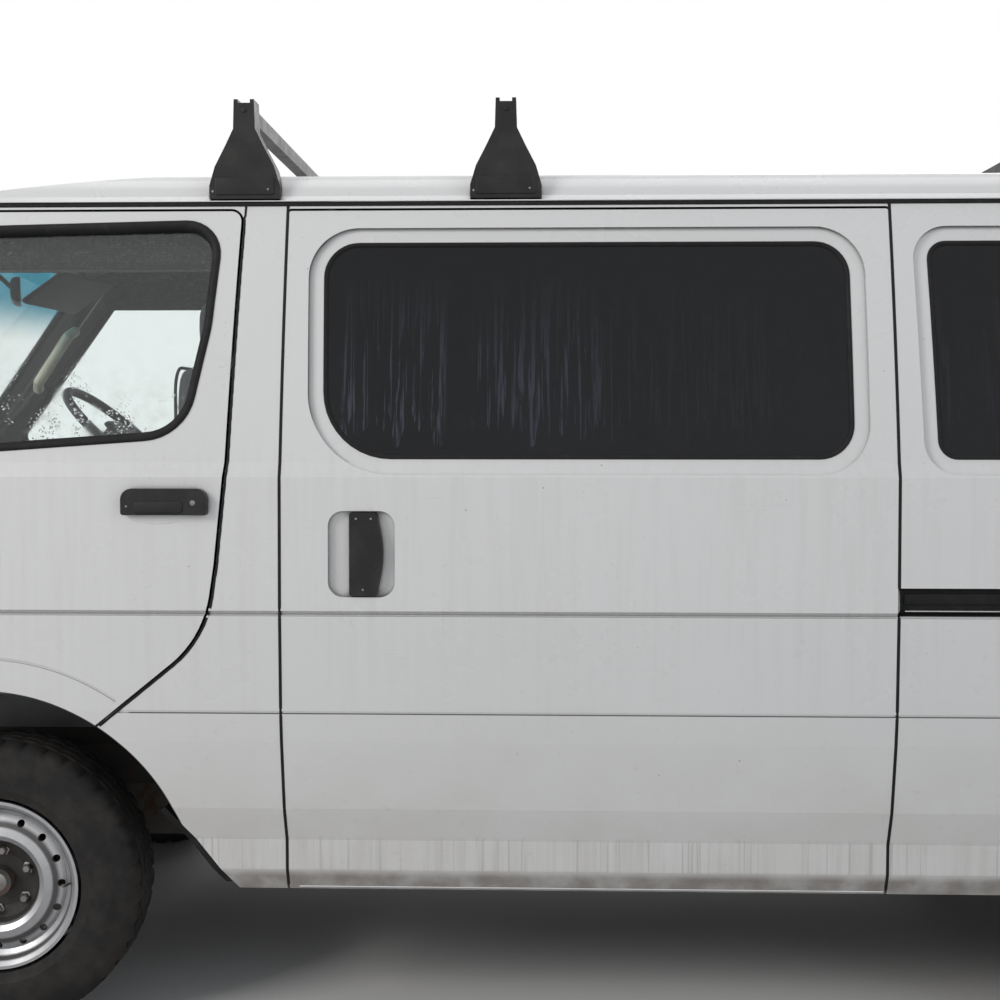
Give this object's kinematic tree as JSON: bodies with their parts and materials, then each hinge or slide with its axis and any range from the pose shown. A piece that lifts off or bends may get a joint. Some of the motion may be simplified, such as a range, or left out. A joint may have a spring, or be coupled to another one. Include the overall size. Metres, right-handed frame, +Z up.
{
  "type": "panel van",
  "caption": "White cab-over panel van with side windows, a sliding side door, a tailgate and a roof rack.",
  "frame": {"origin": "on the ground under the middle of the van", "axes": "+Z up, the front looks along -X, the van's left side lies at -Y"},
  "size_m": [4.85, 2, 2.119],
  "materials": {
    "white_paint": "weathered gloss",
    "side_glass": "dark tinted",
    "clear_glass": "lightly tinted",
    "black_plastic": "satin",
    "lamp_lens": "clear lens",
    "amber_lens": "clear lens",
    "red_lens": "clear lens",
    "floor_steel": "matt",
    "chassis_steel": "matt",
    "engine_iron": "rough",
    "exhaust_steel": "dull",
    "wheel_steel": "silver paint",
    "tyre_rubber": "matt",
    "dash_plastic": "grained",
    "seat_fabric": "woven",
    "rack_paint": "powder coat"
  },
  "bodies": {
    "body": {"left_side": "white_paint", "right_side": "white_paint", "nose_panel": "white_paint", "windscreen_surround": "white_paint", "roof_panel": "white_paint", "rear_valance": "white_paint", "sliding_door": "white_paint", "sliding_door_glass": "side_glass", "sliding_door_handle": "black_plastic", "body_side_glass": "side_glass", "mud_guards": "black_plastic", "windscreen": "clear_glass", "front_bumper": "black_plastic", "rear_bumper": "black_plastic", "grille": "black_plastic", "headlamps": "lamp_lens", "indicators": "amber_lens", "tail_lamps": "red_lens", "floor_pan": "floor_steel", "chassis_frame": "chassis_steel", "engine_block": "engine_iron", "front_suspension": "chassis_steel", "rear_axle": "chassis_steel", "leaf_springs": "chassis_steel", "propshaft": "chassis_steel", "exhaust": "exhaust_steel", "fuel_tank": "chassis_steel", "spare_wheel": "tyre_rubber", "dashboard": "dash_plastic", "front_seats": "seat_fabric", "roof_rack": "rack_paint"},
    "door_left": {"front_left_door": "white_paint", "front_left_door_glass": "clear_glass", "front_left_door_fittings": "black_plastic"},
    "door_right": {"front_right_door": "white_paint", "front_right_door_glass": "clear_glass", "front_right_door_fittings": "black_plastic"},
    "tailgate_body": {"tailgate": "white_paint", "tailgate_glass": "side_glass"},
    "knuckle_left": {"left_knuckle": "chassis_steel"},
    "knuckle_right": {"right_knuckle": "chassis_steel"},
    "wheel_front_left": {"front_left_tyre": "tyre_rubber", "front_left_rim": "wheel_steel"},
    "wheel_front_right": {"front_right_tyre": "tyre_rubber", "front_right_rim": "wheel_steel"},
    "wheel_rear_left": {"rear_left_tyre": "tyre_rubber", "rear_left_rim": "wheel_steel"},
    "wheel_rear_right": {"rear_right_tyre": "tyre_rubber", "rear_right_rim": "wheel_steel"},
    "steering_wheel_body": {"steering_wheel": "dash_plastic"}
  },
  "joints": [
    {"name": "door_left_hinge", "type": "hinge", "parent": "body", "child": "door_left", "pos_m": [-2.165, -0.82, 0.9], "axis": [0, 0, -1], "range_deg": [0, 70]},
    {"name": "door_right_hinge", "type": "hinge", "parent": "body", "child": "door_right", "pos_m": [-2.165, 0.82, 0.9], "axis": [0, 0, 1], "range_deg": [0, 70]},
    {"name": "tailgate_hinge", "type": "hinge", "parent": "body", "child": "tailgate_body", "pos_m": [2.30931, 0, 1.884], "axis": [0, -1, 0], "range_deg": [0, 85]},
    {"name": "steer_left", "type": "hinge", "parent": "body", "child": "knuckle_left", "pos_m": [-1.385, -0.645, 0.333], "axis": [0, 0, 1], "range_deg": [-32, 32]},
    {"name": "steer_right", "type": "hinge", "parent": "body", "child": "knuckle_right", "pos_m": [-1.385, 0.645, 0.333], "axis": [0, 0, 1], "range_deg": [-32, 32]},
    {"name": "steering_wheel_turn", "type": "hinge", "parent": "body", "child": "steering_wheel_body", "pos_m": [-1.425, 0.39, 1.34], "axis": [0.6691, 0, 0.7431], "range_deg": [-416, 416]},
    {"name": "front_left_spin", "type": "hinge", "parent": "knuckle_left", "child": "wheel_front_left", "pos_m": [-1.385, -0.715, 0.333], "axis": [0, 1, 0], "continuous": true},
    {"name": "front_right_spin", "type": "hinge", "parent": "knuckle_right", "child": "wheel_front_right", "pos_m": [-1.385, 0.715, 0.333], "axis": [0, 1, 0], "continuous": true},
    {"name": "rear_left_spin", "type": "hinge", "parent": "body", "child": "wheel_rear_left", "pos_m": [1.315, -0.715, 0.333], "axis": [0, 1, 0], "continuous": true},
    {"name": "rear_right_spin", "type": "hinge", "parent": "body", "child": "wheel_rear_right", "pos_m": [1.315, 0.715, 0.333], "axis": [0, 1, 0], "continuous": true}
  ],
  "couplings": [
    {"joint": "steer_right", "follows": "steer_left", "ratio": 1},
    {"joint": "steering_wheel_turn", "follows": "steer_left", "ratio": 13}
  ]
}
